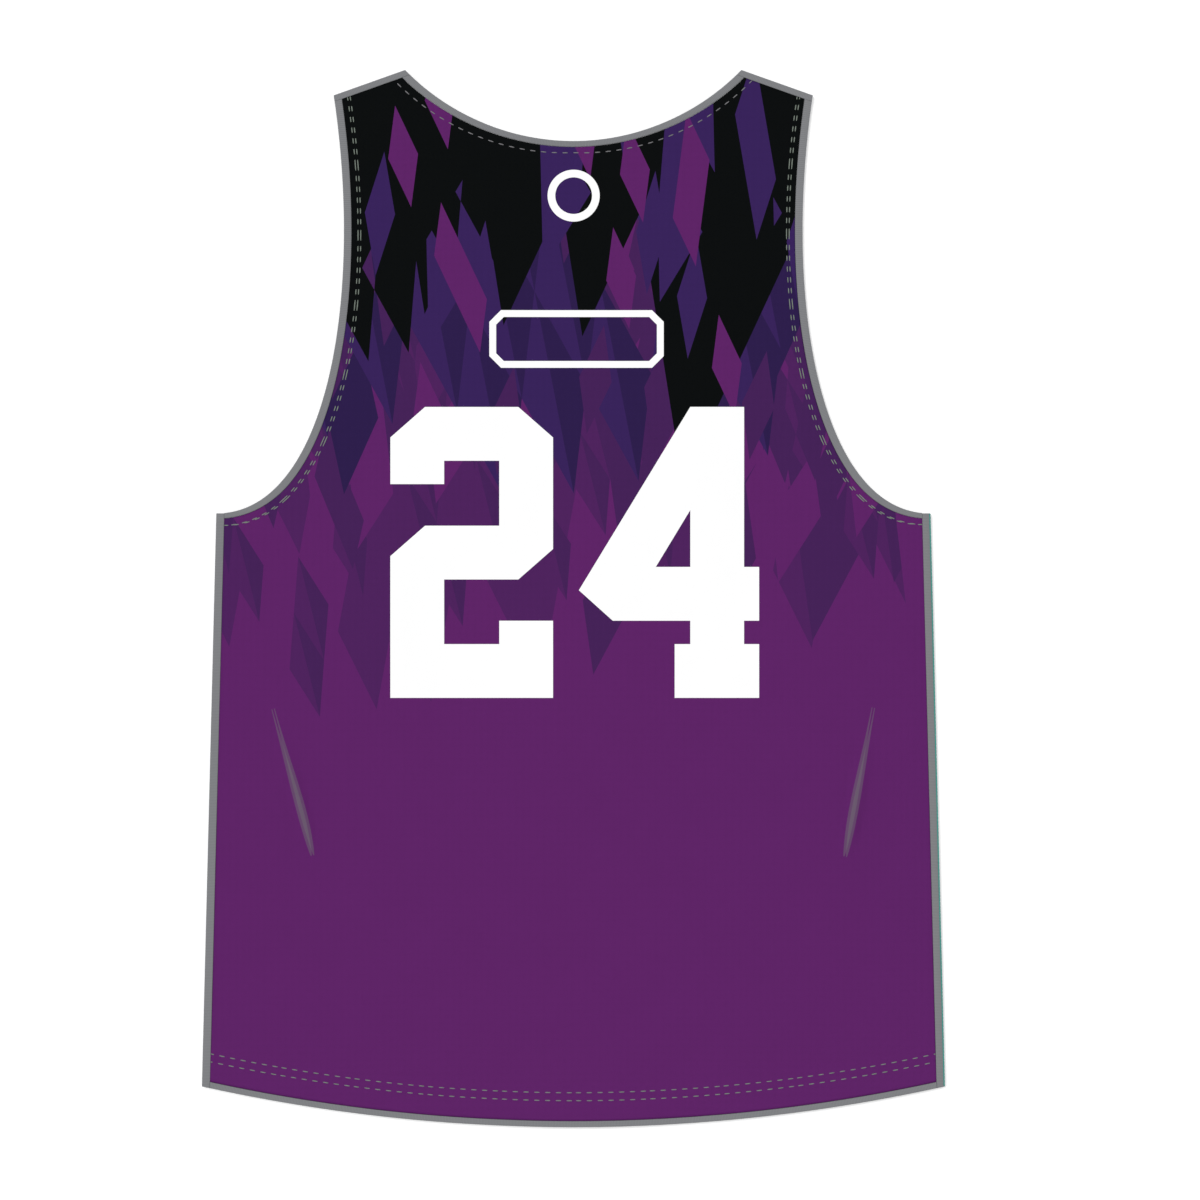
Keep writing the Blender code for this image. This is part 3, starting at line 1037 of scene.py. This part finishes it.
def make_layer_tapes(layer, neck, height):
    """The neck, armhole and hem tapes of one panel."""
    edges = (("neck", "", neck, neck_band), ("armhole", "_right", right_armhole, armhole_band),
             ("armhole", "_left", left_armhole, armhole_band), ("hem", "", hem_edge, hem_band))
    return [make_tape(f"{edge}_tape{side}_{layer}", f"{edge}_binding{side}_{layer}", stations, band,
                      TAPE_WALL, TAPE_SQUARENESS, height) for edge, side, stations, band in edges]


back_tapes = make_layer_tapes("back", neck_edge, back_height)
front_tapes = make_layer_tapes("front", front_neck_edge, front_height)
print("tapes", [tape.name for tape in back_tapes + front_tapes])

# %% [markdown]
# The strips on the side seams and the shoulders hold both panels, so they are twice as
# thick. They start longer than the seam and are trimmed in line with the edges they meet.
# %% Side and shoulder tapes
SEAM_STEPS = 120
SEAM_OVERRUN = 0.006


def straight_stations(start, end, overrun):
    """Stations of a straight seam that runs on a little at both ends."""
    along = (end - start).normalized()
    first, last = start - along * overrun, end + along * overrun
    return stations_along([first.lerp(last, share) for share in shares(SEAM_STEPS, 0.0)])


def end_plane(station):
    """Upright plane along an edge, to trim a tape that ends there."""
    return Plane(station.point, -station.inward)


side_ends = (end_plane(hem_edge[-1]), Plane(UNDERARM, Vector((0.0, 1.0, 0.0))))
shoulder_ends = (end_plane(right_armhole[-1]), end_plane(neck_edge[-1]))
seams = (("side", (HEM_CORNER, UNDERARM), side_ends, side_band),
         ("shoulder", (SHOULDER_TIP, NECK_POINT), shoulder_ends, shoulder_band))
for side_name, on_left in (("right", False), ("left", True)):
    for seam, ends, cuts, band in seams:
        stations = straight_stations(*ends, SEAM_OVERRUN)
        if on_left:
            stations = mirrored(stations)
            cuts = [both_sides(cut)[1] for cut in cuts]
        make_tape(f"{seam}_tape_{side_name}", f"{seam}_binding_{side_name}",
                                    stations, band, SEAM_WALL, SEAM_SQUARENESS, planes=cuts)

# %% [markdown]
# ## Stitches
# One stitch is a round-ended bead of thread that lies on the cloth and dives in at both
# ends. It starts as a small sphere, is pulled apart at its middle, and is then bent along
# the row, so it follows both the curve of the edge and the lie of the cloth. All stitches
# of a row are one mesh. The armhole rows have a long stitch before every five short ones,
# and the hem rows run a little close after every seventh. A row is sewn before the seams
# are closed, so it runs on under their tape, and the stitch that the tape crosses is cut.
# %% Sew a row
THREAD_RADIUS = 0.00040
THREAD_FLATNESS = 0.85
THREAD_SINK = 0.00012
STITCH = 0.00395
LONG_STITCH = 0.00787
GAP = 0.00392
SHORT_STITCHES = 5           # of an armhole row, after each long one
SHORTEST_END = 0.0010
BEAD_SEGMENTS = 8
BEAD_RINGS = 6
MIDDLE_RING = 0.1            # share of the radius that the bead's middle ring lies within

Sewing = namedtuple("Sewing", "lengths gaps radius")
NECK_SEWING = Sewing((STITCH,), (GAP,), THREAD_RADIUS)
ARMHOLE_SEWING = Sewing((LONG_STITCH,) + (STITCH,) * SHORT_STITCHES, (GAP,), THREAD_RADIUS)


def stand_on(points, marks, distance):
    """The point and the direction at a distance along a line."""
    index = min(max(bisect_left(marks, distance), 1), len(marks) - 1)
    a, b = points[index - 1], points[index]
    share = (distance - marks[index - 1]) / (marks[index] - marks[index - 1])
    return a.lerp(b, share), (b - a).normalized()


def add_stitch(sheet, uv, line, start, end, radius, top, slant):
    """One bead of thread between two distances along the line."""
    points, marks = line
    half = (end - start) / 2
    straight = half - radius
    ball = bmesh.ops.create_uvsphere(sheet, u_segments=BEAD_SEGMENTS, v_segments=BEAD_RINGS,
                                     radius=radius)
    for vert in ball["verts"]:
        along, across, up = vert.co.z, vert.co.x, vert.co.y
        if abs(along) > radius * MIDDLE_RING:
            along += math.copysign(straight, along)
        for loop in vert.link_loops:
            loop[uv].uv = (along, math.atan2(up, across) * radius)
        point, way = stand_on(points, marks, start + half + along)
        point = point + UPWARDS.cross(way) * (across + along * slant)
        arch = 1 - (along / half) ** 2
        lift = THREAD_SINK * (2 * arch - 1)
        vert.co = Vector((point.x, point.y, top(point) + lift + up * THREAD_FLATNESS))


def open_stretch(points, marks, planes):
    """From where to where a line is clear of the seam tapes."""
    rooms = [min((plane.point - point).dot(plane.outward) for plane in planes) for point in points]
    inside = [index for index, room in enumerate(rooms) if room > 0]
    ends = []
    for within, beyond in ((inside[0], max(inside[0] - 1, 0)),
                           (inside[-1], min(inside[-1] + 1, len(points) - 1))):
        share = rooms[within] / (rooms[within] - rooms[beyond]) if beyond != within else 0.0
        ends.append(marks[within] + share * (marks[beyond] - marks[within]))
    return ends


def sew(name, rows, finish, planes=SEAM_PLANES, top=back_top, slant=0.0):
    """Sew rows, each a line, how far along it the first stitch starts, and its sewing."""
    sheet = bmesh.new()
    uv = sheet.loops.layers.uv.new("strip")
    count = 0
    for points, start, sewing in rows:
        marks = milestones(points)
        first, last = open_stretch(points, marks, planes)
        turn = 0
        while start < last:
            end = start + sewing.lengths[turn % len(sewing.lengths)]
            shown = max(start, first), min(end, last)
            if shown[1] - shown[0] > SHORTEST_END:
                add_stitch(sheet, uv, (points, marks), *shown, sewing.radius, top, slant)
                count += 1
            start = end + sewing.gaps[turn % len(sewing.gaps)]
            turn += 1
    bmesh.ops.recalc_face_normals(sheet, faces=sheet.faces[:])
    print(name, count, "stitches")
    return show(name, sheet, finish)


# %% [markdown]
# Each row starts at its own place. On the neck and the armholes that is measured from the
# row's end under the tape, and on the hem from where the left side tape lets it out. The
# two needles of the hem don't come quite equally close after the seventh stitch.
# %% Sew the rows
NECK_START = 0.0030
HEM_LEADS = (0.0015, 0.0024)
HEM_CLOSE_EVERY = 7
HEM_CLOSE_GAPS = (0.00270, 0.00294)


def hem_sewing(close_gap):
    return Sewing((STITCH,), (GAP,) * (HEM_CLOSE_EVERY - 1) + (close_gap,), THREAD_RADIUS)


neck_sewn = [(neck_row, NECK_START, NECK_SEWING)]
right_sewn = [(row, 0.0, ARMHOLE_SEWING) for row in twin(right_row)]
left_sewn = [(flipped(row), 0.0, ARMHOLE_SEWING) for row in twin(armhole_row)]
hem_sewn = [(row, open_stretch(row, milestones(row), SEAM_PLANES)[0] - lead, hem_sewing(close_gap))
            for row, lead, close_gap in zip(hem_rows, HEM_LEADS, HEM_CLOSE_GAPS)]
stitches = [
    sew("stitches_neck", neck_sewn, neck_thread_finish),
    sew("stitches_armhole_right", right_sewn, twin_thread_finish),
    sew("stitches_armhole_left", left_sewn, twin_thread_finish),
    sew("stitches_hem", hem_sewn, twin_thread_finish),
]

# %% [markdown]
# ## The teal edge
# The picture shows a thin teal line outside the grey on the right side seam only. On a real
# top that is the thread of the seam's overlock, which wraps the outer edge. Short slanted
# stitches that overlap a little make it, of a thread that lies on the tape's outer corner.
# %% Overlock thread
OVERLOCK_INSET = 0.0003
OVERLOCK_DROP = 0.0002       # of the thread's middle below the top of the tape
OVERLOCK_SLANT = 0.08
OVERLOCK_STITCH = 0.0036
OVERLOCK_LAP = 0.0009
OVERLOCK_RADIUS = 0.00055
OVERLOCK_SEWING = Sewing((OVERLOCK_STITCH,), (-OVERLOCK_LAP,), OVERLOCK_RADIUS)


def overlock_top(_point):
    return SEAM_WALL - OVERLOCK_DROP


seam_line = straight_stations(HEM_CORNER, UNDERARM, 0.0)
overlock_line = [s.point + s.inward * OVERLOCK_INSET for s in seam_line]
sew("edge_thread_right", [(overlock_line, 0.0, OVERLOCK_SEWING)], edge_thread_finish,
    side_ends, overlock_top, OVERLOCK_SLANT)

# %% [markdown]
# ## White print
# The numerals are plain block figures about three strokes wide, with cut-off corners. Each
# outline is filled by triangle_fill, tidied to a few large faces and sliced into small
# squares, because a flat face can't follow the cloth. Then every point is set down on the
# back's surface, and solidify makes a thin film of it.
# Above them an empty plate and a plain ring stand where a team would print its own words.
# %% Press print on to the cloth
STROKE = 0.0392
FIGURE_HEIGHT = 5.406        # in strokes, as the points below are
CORNER_X = 0.645
CORNER_Y = 0.566
SERIF = 1.434
TWO_WIDTH = 3.023
TWO_MIDDLE = 2.20
FOUR_WIDTH = 3.35
FOUR_STEM = 2.07
FOUR_FOOT = 1.78
FOUR_ELBOW = 2.00
FOUR_CHIN = 0.63
FOUR_HOLE_TOP = 3.49
FOUR_HOLE_LEFT = 1.43
PRINT_WALL = 0.00018
PRINT_LIFT = 0.00006
PRINT_SLICE = STROKE / 10
PRINT_CRISP = math.radians(50)
ONE_PLANE = math.radians(0.5)


def figure_two():
    """The outline of a two, clockwise from the upper left, as the only one of a list."""
    top, right, inner, bar = FIGURE_HEIGHT, TWO_WIDTH, TWO_WIDTH - 1, TWO_MIDDLE + 1
    return [[
        (0, top - CORNER_Y), (CORNER_X, top), (right - CORNER_X, top), (right, top - CORNER_Y),
        (right, TWO_MIDDLE + CORNER_Y), (right - CORNER_X, TWO_MIDDLE), (1, TWO_MIDDLE), (1, 1),
        (inner, 1), (inner, SERIF), (right, SERIF), (right, 0), (0, 0), (0, bar - CORNER_Y),
        (CORNER_X, bar), (inner, bar), (inner, top - 1), (1, top - 1), (1, top - SERIF),
        (0, top - SERIF),
    ]]


def figure_four():
    """The outline of a four, clockwise from the top of its stem, and the one of its hole."""
    top, left, right, end, bar = FIGURE_HEIGHT, FOUR_STEM, FOUR_STEM + 1, FOUR_WIDTH, SERIF + 1
    return [
        [(left, top), (right, top), (right, bar), (end, bar), (end, SERIF), (right, SERIF),
         (right, 1), (end, 1), (end, 0), (FOUR_FOOT, 0), (FOUR_FOOT, 1), (left, 1), (left, SERIF),
         (FOUR_CHIN, SERIF), (0, FOUR_ELBOW)],
        [(left, FOUR_HOLE_TOP), (left, bar), (FOUR_HOLE_LEFT, bar)],
    ]


def filled(outlines, scale, corner):
    """Flat sheet inside an outline, less its holes."""
    sheet = bmesh.new()
    for outline in outlines:
        knots = [sheet.verts.new((corner[0] + x * scale, corner[1] + y * scale, 0.0))
                 for x, y in outline]
        for ends in zip(knots, knots[1:] + knots[:1]):
            sheet.edges.new(ends)
    bmesh.ops.triangle_fill(sheet, use_beauty=True, edges=sheet.edges[:], normal=UPWARDS)
    bmesh.ops.dissolve_limit(sheet, angle_limit=ONE_PLANE, verts=sheet.verts[:],
                             edges=sheet.edges[:])
    return sheet


def slice_sheet(sheet):
    """Cut a flat sheet into small squares, counted from its lower left corner."""
    for axis in (0, 1):
        places = [vert.co[axis] for vert in sheet.verts]
        for slices in range(1, math.ceil((max(places) - min(places)) / PRINT_SLICE)):
            point, way = Vector(), Vector()
            point[axis] = min(places) + slices * PRINT_SLICE
            way[axis] = 1.0
            everything = sheet.verts[:] + sheet.edges[:] + sheet.faces[:]
            bmesh.ops.bisect_plane(sheet, geom=everything, dist=WELD, plane_co=point, plane_no=way)


def press(name, sheet):
    """Lay a flat shape on the back and give it the thickness of a film, downwards."""
    for vert in sheet.verts:
        vert.co.z = back_top(vert.co) + PRINT_LIFT + PRINT_WALL
    face_up(sheet)
    bmesh.ops.solidify(sheet, geom=sheet.faces[:], thickness=PRINT_WALL)
    piece = show(name, sheet, print_finish)
    piece.data.set_sharp_from_angle(angle=PRINT_CRISP)
    print(name, len(piece.data.polygons), "faces")
    return piece


FIGURE_BASE = -0.0724
TWO_LEFT = -0.1332
FOUR_LEFT = 0.0041
for name, outlines, left in (("numeral_two", figure_two(), TWO_LEFT),
                             ("numeral_four", figure_four(), FOUR_LEFT)):
    figure = filled(outlines, STROKE, (left, FIGURE_BASE))
    slice_sheet(figure)
    press(name, figure)

# %% [markdown]
# The plate is a rectangle with the same cut-off corners, and a smaller one inside it is its
# hole. The ring is two circles joined by bridge_loops, which fills the gap between two loops
# of edges.
# %% Plate and ring
PLATE_MIDDLE = (0.0024, 0.1890)
PLATE_SIZE = (0.127, 0.042)
PLATE_CORNER = 0.0085
PLATE_STROKE = 0.0050
RING_MIDDLE = Vector((0.0003, 0.2935, 0.0))
RING_RADIUS = 0.0190
RING_STROKE = 0.0056
RING_SIDES = 72


def plate_outline(inset):
    """Rectangle with cut corners, the same distance in from the plate's edge all round."""
    side, top = PLATE_SIZE[0] / 2 - inset, PLATE_SIZE[1] / 2 - inset
    corner = PLATE_CORNER - inset * (2 - math.sqrt(2))
    right = [(side - corner, -top), (side, corner - top),
             (side, top - corner), (side - corner, top)]
    return right + [(-x, -y) for x, y in right]


plate = filled([plate_outline(0.0), plate_outline(PLATE_STROKE)], 1.0, PLATE_MIDDLE)
slice_sheet(plate)
press("plate_mark", plate)

ring = bmesh.new()
for radius in (RING_RADIUS, RING_RADIUS - RING_STROKE):
    circle = bmesh.ops.create_circle(ring, segments=RING_SIDES, radius=radius)["verts"]
    bmesh.ops.translate(ring, verts=circle, vec=RING_MIDDLE)
bmesh.ops.bridge_loops(ring, edges=ring.edges[:])
press("ring_mark", ring)

# %% [markdown]
# ## How much cloth is cut
# The two panels are sheets of cloth that were cut flat and laid down. Their tapes, print and
# thread lie on them.
print("back cut", round(back_area, 4), "front cut", round(front_area, 4), "square metres")
